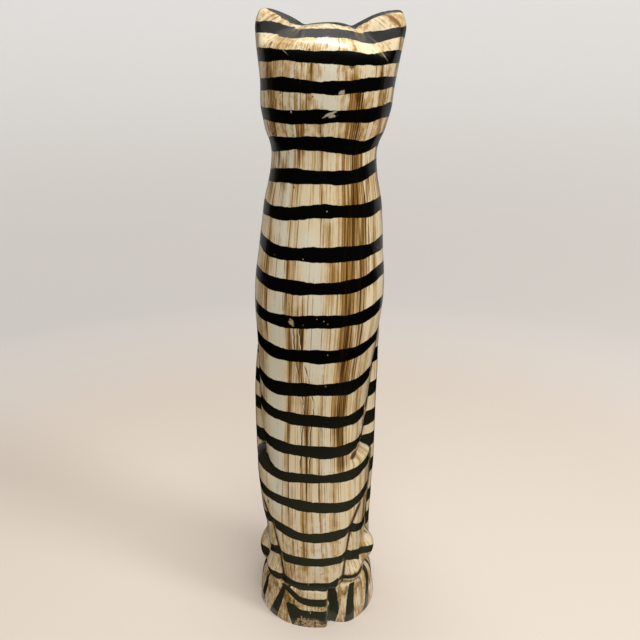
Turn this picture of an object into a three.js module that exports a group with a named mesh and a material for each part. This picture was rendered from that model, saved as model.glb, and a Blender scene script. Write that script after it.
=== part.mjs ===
// A tall sitting cat, carved from one round log and standing on the log's own foot.
// Millimetres, +Z up. The cat looks along -Y and its back is at +Y.
import * as THREE from 'three';
import { mergeVertices } from 'three/addons/utils/BufferGeometryUtils.js';

// The log and the foot that is left of it below the figure, which reaches a little way into it
const LOG_RADIUS = 54.3;
const FOOT = { height: 38, lowSide: 4, taper: 3, taperHeight: 30, edge: 3, sideEdge: 17 };
const FIGURE_START = 3;
// A cut beside the tail thins the foot there, with a slot at the tail's edge
const TAIL_CUT = { deep: 5.5, inner: -13, full: -15, end: -34 };
const TAIL_SLOT = { place: -15.5, half: 4.6, deep: 2, low: 38, high: 44 };

// How far the log's middle line bends to +X: [height, shift]
const BEND = [[0, 0], [50, 0.4], [110, 2.6], [180, 3], [228, 1.4], [263, -0.8], [290, -2.1], [330, -3.6],
  [365, -5], [405, -6.1], [440, -7.6], [465, -9], [500, -10.8]];
// Half width of the body and head: [height, half width]
const BODY_WIDE = [[30, 37], [100, 37], [142, 38], [155, 40.2], [170, 42.5], [190, 44.8], [225, 47.2],
  [262, 50.4], [296, 53], [315, 52.2], [330, 50.4], [355, 48], [370, 46.4], [385, 43.2], [397, 41.2],
  [406, 40.5], [415, 42], [423, 45.4], [431, 47.4], [440, 49.3], [459, 50.7], [472, 52.4], [486, 54.3],
  [498, 55.6], [510, 55.6]];
// Depth of the back behind the middle line and of the front before it: [height, depth]
const BACK_DEEP = [[30, 47], [60, 48.5], [100, 47.5], [140, 45], [180, 43], [230, 44], [290, 47.5], [330, 46],
  [370, 42], [405, 38], [423, 41], [440, 44.5], [460, 46], [478, 43.5], [492, 38], [502, 31], [510, 23]];
const FRONT_DEEP = [[30, 38], [60, 38], [120, 37], [180, 38], [230, 41], [290, 47], [318, 49], [345, 47],
  [375, 41], [405, 36], [420, 36], [440, 38], [460, 38.5], [478, 37], [492, 33], [502, 27], [510, 20]];
const BODY_ROUND = { power: 2.35, waistExtra: 0.35, waistLow: 165, waistHigh: 215 };

// Thighs: half width below the waist, and the fold that parts them from the back, which is
// cut higher and runs level for longer on the right; its places are in degrees round from the side
const THIGH_WIDE = [[30, 44], [55, 44.5], [78, 45.5], [110, 48], [132, 49.6], [150, 50], [165, 50]];
const LEFT_FOLD = { height: 155, levelTo: 8, fadeFrom: 42 };
const RIGHT_FOLD = { height: 157.5, levelTo: 34, fadeFrom: 38 };
const THIGH_FOLD = { fore: 8, backDrop: 0.0095, foreDrop: 0.022, sharp: 4, fade: 2 };
const FOLD_NICK = { deep: 1.8, half: 4, above: 1 };
const LEG_NICK = { deep: 2.4, half: 3.4, place: -1 };
// The groove between rump and hind leg: [height, distance from the middle]
const RUMP_GROOVE = [[30, 25], [45, 26.5], [60, 28.5], [78, 31.5], [92, 34.5], [104, 39]];
const RUMP_NICK = { deep: 3.2, half: 3.8, legStep: 1.3 };

// Forelegs in relief: [height, size]
const LEG_OUT = [[30, 31], [70, 31.5], [100, 33], [150, 34.8], [200, 34.8], [240, 33.6], [280, 31.5],
  [310, 27]];
const LEG_FORE = [[30, 22], [70, 19], [100, 18], [150, 17], [200, 16], [250, 15], [280, 13], [310, 10]];
const LEG_RADIUS = [[30, 17], [60, 17.8], [100, 18.8], [150, 19.6], [200, 19.6], [240, 19.4], [275, 18.5],
  [300, 14], [310, 9]];
const LEG_TOP = 312;
const CHEST_HOLLOW = { deep: 8, half: 15, low: 215, high: 275 };

// Rounded lumps: out from the middle, along Y, up, and their three half sizes
const HEEL = { out: 33, back: 19, up: 43.5, wide: 11, deep: 20, tall: 12 };
const LEFT_TOES = { out: 38.5, back: -1, up: 46, wide: 15, deep: 17, tall: 19 };
const RIGHT_TOES = { out: 38.5, back: -1, up: 50.5, wide: 15.2, deep: 17, tall: 14 };
const FOREPAW = { out: 25, back: -31, up: 46, wide: 19, deep: 22.5, tall: 15.5 };
const TOE_LINES = { out: [20, 29], half: 2.6, deep: 2.2 };
const MUZZLE = { out: 0, back: -32, up: 436, wide: 20, deep: 15, tall: 13 };
const WHISKER_PAD = { out: 7.2, back: -39, up: 434, wide: 10, deep: 9, tall: 8 };
const CHIN = { out: 0, back: -36, up: 425, wide: 8.5, deep: 8, tall: 5.5 };
const NOSE_BRIDGE = { out: 0, back: -29, up: 450, wide: 9.5, deep: 14, tall: 19 };
const NOSE = { out: 0, back: -43.5, up: 444, wide: 6.4, deep: 6.5, tall: 5 };
const CHEEK = { out: 25, back: -19, up: 436, wide: 21, deep: 17, tall: 14 };
const EYE = { out: 19.5, up: 458.5, half: 11, tall: 6, tilt: 0.28, proud: 2 };
const EYE_SOCKET = { wide: 12, tall: 8.5, deep: 2.4 };

// The crown and the ears
const CROWN = { height: 498.2, half: 20, leftDrop: 2, rightDrop: 4.4, middle: 4, foreDrop: 26, foreReach: 44,
  backDrop: 16, backReach: 36 };
const LEFT_EAR = { root: 18.9, rootHeight: 496.4, reach: 28, rise: 11.2 };
const RIGHT_EAR = { root: 16, rootHeight: 495.4, reach: 30, rise: 10 };
const EAR_TIP = { place: 49.5, drop: 9, round: 6 };
// The ear's edge falls away before and behind it: [where, slope]
const EAR_FRONT = [[6, 0.45], [-7, 1.1]];
const EAR_BACK = [[9, 0.9], [13, 1.6]];
// The soft valley between the dome of the head and the back of an ear
const EAR_CREASE = { deep: 0.9, half: 4, out: 1.5, height: 493.5, slant: 0.75, low: 478, high: 490,
  top: 497 };
const EAR_HOLLOW = { out: 29, drift: 9, deep: 6, wide: 10, narrower: 2.5, low: 466, high: 509 };

// How finely the log is carved
const SEGMENTS = 70;
const SIDE_STRETCH = 0.25;
const CARVING_ROWS = [[0, 32, 4], [32, 68, 9], [68, 140, 6], [140, 164, 6], [164, 404, 10], [404, 450, 10]];
const HEAD_MIDDLE = 450;
const HEAD_CORE = 20;
const HEAD_ROWS = 22;
const CROWN_ROWS = 3;
const STEP = 1.6;
const REACH = 84;

// A smooth curve through [height, value] stations
function along(stations, z) {
  const last = stations.length - 1;
  if (z <= stations[0][0]) return stations[0][1];
  if (z >= stations[last][0]) return stations[last][1];
  let i = 0;
  while (z > stations[i + 1][0]) i += 1;
  const slope = (k) => (stations[k + 1][1] - stations[k][1]) / (stations[k + 1][0] - stations[k][0]);
  const tangent = (k) => {
    if (k === 0) return slope(0);
    if (k === last) return slope(last - 1);
    return slope(k - 1) * slope(k) > 0 ? (slope(k - 1) + slope(k)) / 2 : 0;
  };
  const span = stations[i + 1][0] - stations[i][0];
  const t = (z - stations[i][0]) / span;
  const ease = t * t * (3 - 2 * t);
  const leave = t * (1 - t) * (1 - t) * span * tangent(i);
  const arrive = t * t * (t - 1) * span * tangent(i + 1);
  return stations[i][1] + (stations[i + 1][1] - stations[i][1]) * ease + leave + arrive;
}

// 0 before a, 1 past b, easing between them
function ramp(a, b, value) {
  return THREE.MathUtils.smoothstep((value - a) / (b - a), 0, 1);
}

// Two solids joined, or kept only where both are, with a rounded seam
function join(a, b, round) {
  const h = Math.max(round - Math.abs(a - b), 0) / round;
  return Math.min(a, b) - h * h * round / 4;
}

function meet(a, b, round) {
  return -join(-a, -b, round);
}

// Roughly how far a point is outside an oval
function oval(x, y, halfX, halfY, power) {
  const k = (Math.abs(x / halfX) ** power + Math.abs(y / halfY) ** power) ** (1 / power);
  return (k - 1) * Math.min(halfX, halfY);
}

// Roughly how far a point is outside a rounded lump
function lump(size, out, y, z) {
  const x = out - size.out;
  const v = new THREE.Vector3(x / size.wide, (y - size.back) / size.deep, (z - size.up) / size.tall);
  const g = new THREE.Vector3(v.x / size.wide, v.y / size.deep, v.z / size.tall);
  return v.length() * (v.length() - 1) / (g.length() + 1e-9);
}

// The depth of a knife cut, 1 at its middle line and 0 at its edges
function nick(across, half) {
  return Math.max(0, 1 - Math.abs(across) / half);
}

// Back, chest and thighs
function trunk(u, y, z) {
  const side = Math.abs(u);
  const deep = y > 0 ? along(BACK_DEEP, z) : along(FRONT_DEEP, z);
  const lip = u > 0 ? LEFT_FOLD : RIGHT_FOLD;
  const turn = THREE.MathUtils.radToDeg(Math.atan2(y, side));
  const backDrop = THIGH_FOLD.backDrop * Math.max(turn - lip.levelTo, 0) ** 2;
  const foreDrop = THIGH_FOLD.foreDrop * Math.max(THIGH_FOLD.fore - turn, 0) ** 2;
  const fold = z - lip.height + backDrop + foreDrop;
  const spread = THIGH_FOLD.sharp + THIGH_FOLD.fade * Math.max(turn - lip.fadeFrom, 0);
  const thigh = ramp(spread, -spread, fold);
  const wide = THREE.MathUtils.lerp(along(BODY_WIDE, z), along(THIGH_WIDE, z), thigh);
  const boxy = ramp(BODY_ROUND.waistHigh, BODY_ROUND.waistLow, z) * (1 - thigh);
  const hollow = ramp(CHEST_HOLLOW.high, CHEST_HOLLOW.low, z) * ramp(-8, -22, y);
  return oval(u, y, wide, deep, BODY_ROUND.power + BODY_ROUND.waistExtra * boxy)
    + FOLD_NICK.deep * nick(fold - FOLD_NICK.above, FOLD_NICK.half) * ramp(33, 40, side) * ramp(-14, -4, y)
    + CHEST_HOLLOW.deep * hollow * Math.exp(-((u / CHEST_HOLLOW.half) ** 4));
}

function foreleg(side, y, z) {
  const bar = Math.hypot(side - along(LEG_OUT, z), y + along(LEG_FORE, z)) - along(LEG_RADIUS, z);
  return meet(bar, z - LEG_TOP, 6);
}

// Knife cuts between rump and hind leg, and between thigh and foreleg
function legCuts(side, y, z) {
  const across = side - along(RUMP_GROOVE, z);
  const groove = RUMP_NICK.deep * nick(across, RUMP_NICK.half) * ramp(106, 92, z) * ramp(8, 16, y);
  const step = RUMP_NICK.legStep * ramp(0, 3, across) * ramp(100, 80, z) * ramp(5, 15, y);
  const front = LEG_NICK.deep * nick(y - LEG_NICK.place, LEG_NICK.half);
  return groove + step + front * ramp(36, 42, side) * ramp(58, 72, z) * ramp(156, 144, z);
}

// The top of the log's foot, lower under the left hind paw
function footTop(u, y) {
  return FOOT.height - FOOT.lowSide * ramp(30, 47, u) * ramp(34, 16, y);
}

function feet(body, u, y, z) {
  const side = Math.abs(u);
  let solid = join(body, lump(HEEL, side, y, z), 6);
  solid = join(solid, lump(u > 0 ? LEFT_TOES : RIGHT_TOES, side, y, z), 5);
  solid = join(solid, lump(FOREPAW, side, y, z), 6);
  const lines = TOE_LINES.out.reduce((sum, out) => sum + nick(side - out, TOE_LINES.half), 0);
  solid += TOE_LINES.deep * lines * ramp(-40, -46, y) * ramp(62, 54, z);
  return meet(solid, footTop(u, y) - FIGURE_START - z, 2.5);
}

// The log's foot, with the cut beside the tail
function logFoot(u, y, z) {
  const radius = LOG_RADIUS - FOOT.taper * ramp(0, FOOT.taperHeight, z);
  const behind = ramp(10, 20, y);
  const cut = u < TAIL_CUT.inner ? ramp(TAIL_CUT.end, TAIL_CUT.full, u) : 0;
  const slot = nick(u - TAIL_SLOT.place, TAIL_SLOT.half) * ramp(TAIL_SLOT.high, TAIL_SLOT.low, z);
  const ring = Math.hypot(u, y) - radius + TAIL_CUT.deep * cut * behind;
  const edge = THREE.MathUtils.lerp(FOOT.edge, FOOT.sideEdge, ramp(36, 20, y));
  return meet(ring, z - footTop(u, y), edge) + TAIL_SLOT.deep * slot * behind;
}

// The height of the head's top, with the crown between two ears
function headTop(u, y) {
  const side = Math.abs(u);
  const crown = CROWN.height - (u > 0 ? CROWN.leftDrop : CROWN.rightDrop) * (u / CROWN.half) ** 2
    - CROWN.foreDrop * (Math.max(CROWN.middle - y, 0) / CROWN.foreReach) ** 2
    - CROWN.backDrop * (Math.max(y - CROWN.middle, 0) / CROWN.backReach) ** 2;
  const shape = u > 0 ? LEFT_EAR : RIGHT_EAR;
  const t = THREE.MathUtils.clamp((side - shape.root) / shape.reach, 0, 1);
  let ear = shape.rootHeight + shape.rise * (1 - (1 - t) ** 1.6) - Math.max(shape.root - side, 0);
  ear -= EAR_TIP.drop * (Math.max(side - EAR_TIP.place, 0) / EAR_TIP.round) ** 2;
  for (const [edge, slope] of EAR_FRONT) ear -= slope * Math.max(edge - y, 0);
  for (const [edge, slope] of EAR_BACK) ear -= slope * Math.max(y - edge, 0);
  return meet(crown, ear, 1.5);
}

function earCarving(u, y, z) {
  const side = Math.abs(u);
  const creaseStart = (u > 0 ? LEFT_EAR.root : RIGHT_EAR.root) + EAR_CREASE.out;
  const acrossCrease = side - creaseStart - (EAR_CREASE.height - z) * EAR_CREASE.slant;
  const creaseReach = ramp(EAR_CREASE.low, EAR_CREASE.high, z) * ramp(EAR_CREASE.top, EAR_CREASE.height, z);
  const crease = nick(acrossCrease, EAR_CREASE.half) * creaseReach;
  const up = THREE.MathUtils.clamp((z - EAR_HOLLOW.low) / 38, 0, 1);
  const wide = EAR_HOLLOW.wide - EAR_HOLLOW.narrower * up;
  const off = (side - EAR_HOLLOW.out - EAR_HOLLOW.drift * up) / wide;
  const hollow = Math.exp(-off * off) * ramp(EAR_HOLLOW.low, 484, z) * ramp(EAR_HOLLOW.high, 498, z);
  return EAR_CREASE.deep * crease * ramp(8, 16, y) + EAR_HOLLOW.deep * hollow * ramp(4, -5, y);
}

function face(side, y, z) {
  let solid = join(lump(MUZZLE, side, y, z), lump(WHISKER_PAD, side, y, z), 3);
  solid = join(solid, lump(CHIN, side, y, z), 3);
  solid = join(solid, lump(NOSE_BRIDGE, side, y, z), 7);
  solid = join(solid, lump(NOSE, side, y, z), 1.2);
  return join(solid, lump(CHEEK, side, y, z), 8);
}

// Almond eyes set in shallow sockets
function eyeCarving(side, y, z) {
  const front = ramp(-8, -20, y);
  const x = side - EYE.out;
  const h = z - EYE.up;
  const socket = Math.exp(-(((x / EYE_SOCKET.wide) ** 2 + (h / EYE_SOCKET.tall) ** 2) ** 1.5));
  const lengthwise = x * 0.96 + h * EYE.tilt;
  const upward = h * 0.96 - x * EYE.tilt;
  const almond = Math.abs(upward) - EYE.tall * (1 - (lengthwise / EYE.half) ** 2);
  return (EYE_SOCKET.deep * socket - EYE.proud * ramp(0.6, -3.4, almond)) * front;
}

// Roughly how far a point is outside the whole figure, negative inside it
function figure(x, y, z) {
  const u = x - along(BEND, z);
  const side = Math.abs(u);
  let solid = join(trunk(u, y, z), foreleg(side, y, z), 3);
  solid += legCuts(side, y, z);
  solid = feet(solid, u, y, z);
  solid = join(solid, logFoot(u, y, z), 1.5);
  solid = meet(solid, (z - headTop(u, y)) * 0.7, 3);
  solid += earCarving(u, y, z);
  solid = join(solid, face(side, y, z), 6);
  return solid + eyeCarving(side, y, z);
}

// The carving strokes, from the foot upwards: each cuts in level from the side, or from
// above round the head, and stops at the figure's surface
function carvingRows() {
  const rows = [];
  for (const [low, high, count] of CARVING_ROWS) {
    for (let i = 0; i < count; i += 1) {
      rows.push({ height: low + (high - low) * i / count, lift: 0, core: 0 });
    }
  }
  for (let i = 0; i < HEAD_ROWS; i += 1) {
    rows.push({ height: HEAD_MIDDLE, lift: Math.PI / 2 * i / HEAD_ROWS, core: HEAD_CORE });
  }
  for (let i = 0; i < CROWN_ROWS; i += 1) {
    rows.push({ height: HEAD_MIDDLE, lift: Math.PI / 2, core: HEAD_CORE * (1 - i / CROWN_ROWS) });
  }
  return rows;
}

// Where a stroke reaches the figure
function carve(row, angle) {
  const from = new THREE.Vector3(row.core * Math.cos(angle), row.core * Math.sin(angle), row.height);
  from.x += along(BEND, row.height);
  const way = new THREE.Vector3(Math.cos(angle), Math.sin(angle), 0).multiplyScalar(Math.cos(row.lift));
  way.z = Math.sin(row.lift);
  const outside = (r) => figure(from.x + way.x * r, from.y + way.y * r, from.z + way.z * r) > 0;
  let r = REACH;
  while (r > 0 && outside(r)) r -= STEP;
  let low = r;
  let high = r + STEP;
  for (let i = 0; i < 12; i += 1) {
    const middle = (low + high) / 2;
    if (outside(middle)) high = middle;
    else low = middle;
  }
  return from.addScaledVector(way, (low + high) / 2);
}

// Each four-cornered patch is split along its shorter diagonal
function splitPatches(geometry, rowCount) {
  const place = geometry.attributes.position;
  const corner = (i) => new THREE.Vector3().fromBufferAttribute(place, i);
  const triangles = [];
  for (let segment = 0; segment < SEGMENTS; segment += 1) {
    const a = segment * rowCount;
    const b = a + rowCount;
    triangles.push(a, b + 1, a + 1);
    for (let row = 1; row < rowCount - 2; row += 1) {
      const [p, q, r, s] = [a + row, b + row, b + row + 1, a + row + 1];
      const rising = corner(p).distanceTo(corner(r));
      const falling = corner(q).distanceTo(corner(s));
      if (rising < falling) triangles.push(p, q, r, p, r, s);
      else triangles.push(p, q, s, q, r, s);
    }
    triangles.push(a + rowCount - 2, b + rowCount - 2, a + rowCount - 1);
  }
  geometry.setIndex(triangles);
}

function carvedCat() {
  const rows = carvingRows();
  const blank = rows.map((row) => new THREE.Vector2(LOG_RADIUS, row.height + row.lift * LOG_RADIUS));
  blank.unshift(new THREE.Vector2(0, 0));
  blank.push(new THREE.Vector2(0, blank[blank.length - 1].y));
  const geometry = new THREE.LatheGeometry(blank, SEGMENTS);
  const place = geometry.attributes.position;
  const top = carve({ height: HEAD_MIDDLE, lift: Math.PI / 2, core: 0 }, 0);
  for (let segment = 0; segment <= SEGMENTS; segment += 1) {
    const turn = (segment % SEGMENTS) / SEGMENTS * 2 * Math.PI;
    const angle = turn + SIDE_STRETCH / 2 * Math.sin(2 * turn);
    const start = segment * blank.length;
    place.setXYZ(start, 0, 0, 0);
    rows.forEach((row, i) => {
      const point = carve(row, angle);
      place.setXYZ(start + i + 1, point.x, point.y, point.z);
    });
    place.setXYZ(start + blank.length - 1, top.x, top.y, top.z);
  }
  splitPatches(geometry, blank.length);
  geometry.deleteAttribute('normal');
  geometry.deleteAttribute('uv');
  return mergeVertices(geometry, 1e-3);
}

// Stand the middle of the figure's box over the origin
const geometry = carvedCat();
geometry.computeBoundingBox();
const middle = geometry.boundingBox.getCenter(new THREE.Vector3());
geometry.translate(-middle.x, -middle.y, -geometry.boundingBox.min.z);
geometry.computeVertexNormals();

const paintedWood = new THREE.MeshStandardMaterial({ color: 0xd9c6a0, roughness: 0.25, metalness: 0 });
const cat = new THREE.Mesh(geometry, paintedWood);
cat.name = 'carved_cat';

const part = new THREE.Group();
part.add(cat);

export default part;
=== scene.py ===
import bpy
import numpy as np
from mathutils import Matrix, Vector


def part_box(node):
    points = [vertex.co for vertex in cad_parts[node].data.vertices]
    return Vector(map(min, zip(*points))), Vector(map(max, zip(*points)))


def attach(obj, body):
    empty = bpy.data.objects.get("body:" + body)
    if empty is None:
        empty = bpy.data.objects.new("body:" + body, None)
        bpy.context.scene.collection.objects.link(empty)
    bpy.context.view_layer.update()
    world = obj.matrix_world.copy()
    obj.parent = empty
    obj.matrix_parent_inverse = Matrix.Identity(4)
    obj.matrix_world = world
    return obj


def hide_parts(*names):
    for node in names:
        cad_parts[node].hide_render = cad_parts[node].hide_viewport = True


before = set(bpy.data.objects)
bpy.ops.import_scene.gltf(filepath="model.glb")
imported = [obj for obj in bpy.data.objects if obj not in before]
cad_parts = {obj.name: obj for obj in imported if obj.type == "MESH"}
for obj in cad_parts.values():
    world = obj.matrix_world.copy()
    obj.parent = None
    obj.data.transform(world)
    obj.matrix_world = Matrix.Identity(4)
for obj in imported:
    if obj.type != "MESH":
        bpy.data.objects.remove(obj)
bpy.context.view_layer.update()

# A tall sitting cat, carved from one round log and standing on the log's own foot.
# The shape is worked out in millimetres. The cat looks along -Y and its back is at +Y.
MM = 0.001

# The log and the foot that is left of it below the figure, which reaches a little way into it
LOG_RADIUS = 54.3
FOOT = dict(height=38, low_side=4, taper=3, taper_height=30, edge=3, side_edge=17)
FIGURE_START = 3
# A cut beside the tail thins the foot there, with a slot at the tail's edge
TAIL_CUT = dict(deep=5.5, inner=-13, full=-15, end=-34)
TAIL_SLOT = dict(place=-15.5, half=4.6, deep=2, low=38, high=44)

# How far the log's middle line bends to +X: [height, shift]
BEND = [(0, 0), (50, 0.4), (110, 2.6), (180, 3), (228, 1.4), (263, -0.8), (290, -2.1), (330, -3.6),
        (365, -5), (405, -6.1), (440, -7.6), (465, -9), (500, -10.8)]
# Half width of the body and head: [height, half width]
BODY_WIDE = [(30, 37), (100, 37), (142, 38), (155, 40.2), (170, 42.5), (190, 44.8), (225, 47.2),
             (262, 50.4), (296, 53), (315, 52.2), (330, 50.4), (355, 48), (370, 46.4), (385, 43.2),
             (397, 41.2), (406, 40.5), (415, 42), (423, 45.4), (431, 47.4), (440, 49.3), (459, 50.7),
             (472, 52.4), (486, 54.3), (498, 55.6), (510, 55.6)]
# Depth of the back behind the middle line and of the front before it: [height, depth]
BACK_DEEP = [(30, 47), (60, 48.5), (100, 47.5), (140, 45), (180, 43), (230, 44), (290, 47.5), (330, 46),
             (370, 42), (405, 38), (423, 41), (440, 44.5), (460, 46), (478, 43.5), (492, 38), (502, 31),
             (510, 23)]
FRONT_DEEP = [(30, 38), (60, 38), (120, 37), (180, 38), (230, 41), (290, 47), (318, 49), (345, 47),
              (375, 41), (405, 36), (420, 36), (440, 38), (460, 38.5), (478, 37), (492, 33), (502, 27),
              (510, 20)]
BODY_ROUND = dict(power=2.35, waist_extra=0.35, waist_low=165, waist_high=215)

# Thighs: half width below the waist, and the fold that parts them from the back
THIGH_WIDE = [(30, 44), (55, 44.5), (78, 45.5), (110, 48), (132, 49.6), (150, 50), (165, 50)]
LEFT_FOLD = dict(height=155, level_to=8, fade_from=42)
RIGHT_FOLD = dict(height=157.5, level_to=34, fade_from=38)
THIGH_FOLD = dict(fore=8, back_drop=0.0095, fore_drop=0.022, sharp=4, fade=2)
FOLD_NICK = dict(deep=1.8, half=4, above=1)
LEG_NICK = dict(deep=2.4, half=3.4, place=-1)
# The groove between rump and hind leg: [height, distance from the middle]
RUMP_GROOVE = [(30, 25), (45, 26.5), (60, 28.5), (78, 31.5), (92, 34.5), (104, 38.5), (112, 42)]
RUMP_NICK = dict(deep=3.2, half=3.8, leg_step=1.3)

# Forelegs in relief: [height, size]
LEG_OUT = [(30, 31), (70, 31.5), (100, 33), (150, 34.8), (200, 34.8), (240, 33.6), (280, 31.5), (310, 27)]
LEG_FORE = [(30, 22), (70, 19), (100, 18), (150, 17), (200, 16), (250, 15), (280, 13), (310, 10)]
LEG_RADIUS = [(30, 17), (60, 17.8), (100, 18.8), (150, 19.6), (200, 19.6), (240, 19.4), (275, 18.5),
              (300, 14), (310, 9)]
LEG_TOP = 312
CHEST_HOLLOW = dict(deep=8, half=15, low=215, high=275)

# Rounded lumps: out from the middle, along Y, up, and their three half sizes
HEEL = dict(out=33, back=19, up=43.5, wide=11, deep=20, tall=12)
LEFT_TOES = dict(out=38.5, back=-1, up=46, wide=15, deep=17, tall=19)
RIGHT_TOES = dict(out=38.5, back=-1, up=50.5, wide=15.2, deep=17, tall=14)
FOREPAW = dict(out=25, back=-31, up=46, wide=19, deep=22.5, tall=15.5)
TOE_LINES = dict(out=(20, 29), half=2.6, deep=2.2)
MUZZLE = dict(out=0, back=-32, up=436, wide=20, deep=15, tall=13)
WHISKER_PAD = dict(out=7.2, back=-39, up=434, wide=10, deep=9, tall=8)
CHIN = dict(out=0, back=-36, up=425, wide=8.5, deep=8, tall=5.5)
NOSE_BRIDGE = dict(out=0, back=-29, up=450, wide=9.5, deep=14, tall=19)
NOSE = dict(out=0, back=-43.5, up=444, wide=6.4, deep=6.5, tall=5)
CHEEK = dict(out=25, back=-19, up=436, wide=21, deep=17, tall=14)
EYE = dict(out=19.5, up=458.5, half=11, tall=6, tilt=0.28, proud=2)
EYE_SOCKET = dict(wide=12, tall=8.5, deep=2.4)

# The crown and the ears
CROWN = dict(height=498.2, half=20, left_drop=2, right_drop=4.4, middle=4, fore_drop=26, fore_reach=44,
             back_drop=16, back_reach=36)
LEFT_EAR = dict(root=18.9, root_height=496.4, reach=28, rise=11.2)
RIGHT_EAR = dict(root=16, root_height=495.4, reach=30, rise=10)
EAR_TIP = dict(place=49.5, drop=9, round=6)
EAR_FRONT = [(6, 0.45), (-7, 1.1)]
EAR_BACK = [(9, 0.9), (13, 1.6)]
EAR_CREASE = dict(left_deep=0.35, right_deep=0.7, half=4, out=1.5, height=493.5, slant=0.75, low=478,
                  high=490, top=497)
EAR_HOLLOW = dict(out=29, drift=9, deep=6, wide=10, narrower=2.5, low=466, high=509)

# How finely the log is carved: [low, high, rows], then the head's fan of rows
SEGMENTS = 256
CARVING_ROWS = [(0, 2.4, 3), (2.4, 32, 22), (32, 70, 34), (70, 168, 66), (168, 404, 92), (404, 450, 36)]
HEAD_MIDDLE = 450
HEAD_CORE = 20
HEAD_ROWS = 78
CROWN_ROWS = 14
SOLE_RINGS = (0.25, 0.5, 0.75, 0.94)
STEP = 1.6
REACH = 84


def along(stations, z):
    """A smooth curve through [height, value] stations."""
    heights, values = (np.array(column, float) for column in zip(*stations))
    slopes = np.diff(values) / np.diff(heights)
    tangents = np.concatenate([slopes[:1], (slopes[:-1] + slopes[1:]) / 2, slopes[-1:]])
    tangents[1:-1][slopes[:-1] * slopes[1:] <= 0] = 0
    z = np.clip(z, heights[0], heights[-1])
    i = np.clip(np.searchsorted(heights, z) - 1, 0, len(heights) - 2)
    span = heights[i + 1] - heights[i]
    t = (z - heights[i]) / span
    ease = t * t * (3 - 2 * t)
    leave = t * (1 - t) ** 2 * span * tangents[i]
    arrive = t * t * (t - 1) * span * tangents[i + 1]
    return values[i] + (values[i + 1] - values[i]) * ease + leave + arrive


def ramp(a, b, value):
    t = np.clip((value - a) / (b - a), 0, 1)
    return t * t * (3 - 2 * t)


def join(a, b, rounding):
    h = np.maximum(rounding - np.abs(a - b), 0) / rounding
    return np.minimum(a, b) - h * h * rounding / 4


def meet(a, b, rounding):
    return -join(-a, -b, rounding)


def oval(x, y, half_x, half_y, power):
    k = (np.abs(x / half_x) ** power + np.abs(y / half_y) ** power) ** (1 / power)
    return (k - 1) * np.minimum(half_x, half_y)


def lump(size, out, y, z):
    x = (out - size["out"]) / size["wide"]
    y = (y - size["back"]) / size["deep"]
    z = (z - size["up"]) / size["tall"]
    k = np.sqrt(x * x + y * y + z * z)
    g = np.sqrt((x / size["wide"]) ** 2 + (y / size["deep"]) ** 2 + (z / size["tall"]) ** 2)
    return k * (k - 1) / (g + 1e-9)


def nick(across, half):
    """The depth of a knife cut, 1 at its middle line and 0 at its edges."""
    return np.maximum(0, 1 - np.abs(across) / half)


def sided(u, left, right, name):
    return np.where(u > 0, left[name], right[name])


def thigh_fold(u, y, z):
    """How far above the fold a point lies, and how far round it is from the side."""
    turn = np.degrees(np.arctan2(y, np.abs(u)))
    behind = np.maximum(turn - sided(u, LEFT_FOLD, RIGHT_FOLD, "level_to"), 0)
    before = np.maximum(THIGH_FOLD["fore"] - turn, 0)
    drop = THIGH_FOLD["back_drop"] * behind ** 2 + THIGH_FOLD["fore_drop"] * before ** 2
    return z - sided(u, LEFT_FOLD, RIGHT_FOLD, "height") + drop, turn


def trunk(u, y, z):
    side = np.abs(u)
    deep = np.where(y > 0, along(BACK_DEEP, z), along(FRONT_DEEP, z))
    fold, turn = thigh_fold(u, y, z)
    faded = np.maximum(turn - sided(u, LEFT_FOLD, RIGHT_FOLD, "fade_from"), 0)
    spread = THIGH_FOLD["sharp"] + THIGH_FOLD["fade"] * faded
    thigh = ramp(spread, -spread, fold)
    wide = along(BODY_WIDE, z)
    wide = wide + (along(THIGH_WIDE, z) - wide) * thigh
    boxy = ramp(BODY_ROUND["waist_high"], BODY_ROUND["waist_low"], z) * (1 - thigh)
    hollow = ramp(CHEST_HOLLOW["high"], CHEST_HOLLOW["low"], z) * ramp(-8, -22, y)
    cut = FOLD_NICK["deep"] * nick(fold - FOLD_NICK["above"], FOLD_NICK["half"])
    return (oval(u, y, wide, deep, BODY_ROUND["power"] + BODY_ROUND["waist_extra"] * boxy)
            + cut * ramp(33, 40, side) * ramp(-14, -4, y)
            + CHEST_HOLLOW["deep"] * hollow * np.exp(-(u / CHEST_HOLLOW["half"]) ** 4))


def foreleg(side, y, z):
    bar = np.hypot(side - along(LEG_OUT, z), y + along(LEG_FORE, z)) - along(LEG_RADIUS, z)
    return meet(bar, z - LEG_TOP, 6)


def leg_cuts(side, y, z):
    across = side - along(RUMP_GROOVE, z)
    groove = RUMP_NICK["deep"] * nick(across, RUMP_NICK["half"]) * ramp(106, 92, z) * ramp(8, 16, y)
    step = RUMP_NICK["leg_step"] * ramp(0, 3, across) * ramp(100, 80, z) * ramp(5, 15, y)
    front = LEG_NICK["deep"] * nick(y - LEG_NICK["place"], LEG_NICK["half"])
    return groove + step + front * ramp(36, 42, side) * ramp(58, 72, z) * ramp(156, 144, z)


def foot_top(u, y):
    return FOOT["height"] - FOOT["low_side"] * ramp(30, 47, u) * ramp(34, 16, y)


def feet(body, u, y, z):
    side = np.abs(u)
    solid = join(body, lump(HEEL, side, y, z), 6)
    toes = np.where(u > 0, lump(LEFT_TOES, side, y, z), lump(RIGHT_TOES, side, y, z))
    solid = join(solid, toes, 5)
    solid = join(solid, lump(FOREPAW, side, y, z), 6)
    lines = sum(nick(side - out, TOE_LINES["half"]) for out in TOE_LINES["out"])
    solid = solid + TOE_LINES["deep"] * lines * ramp(-40, -46, y) * ramp(62, 54, z)
    return meet(solid, foot_top(u, y) - FIGURE_START - z, 2.5)


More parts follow.
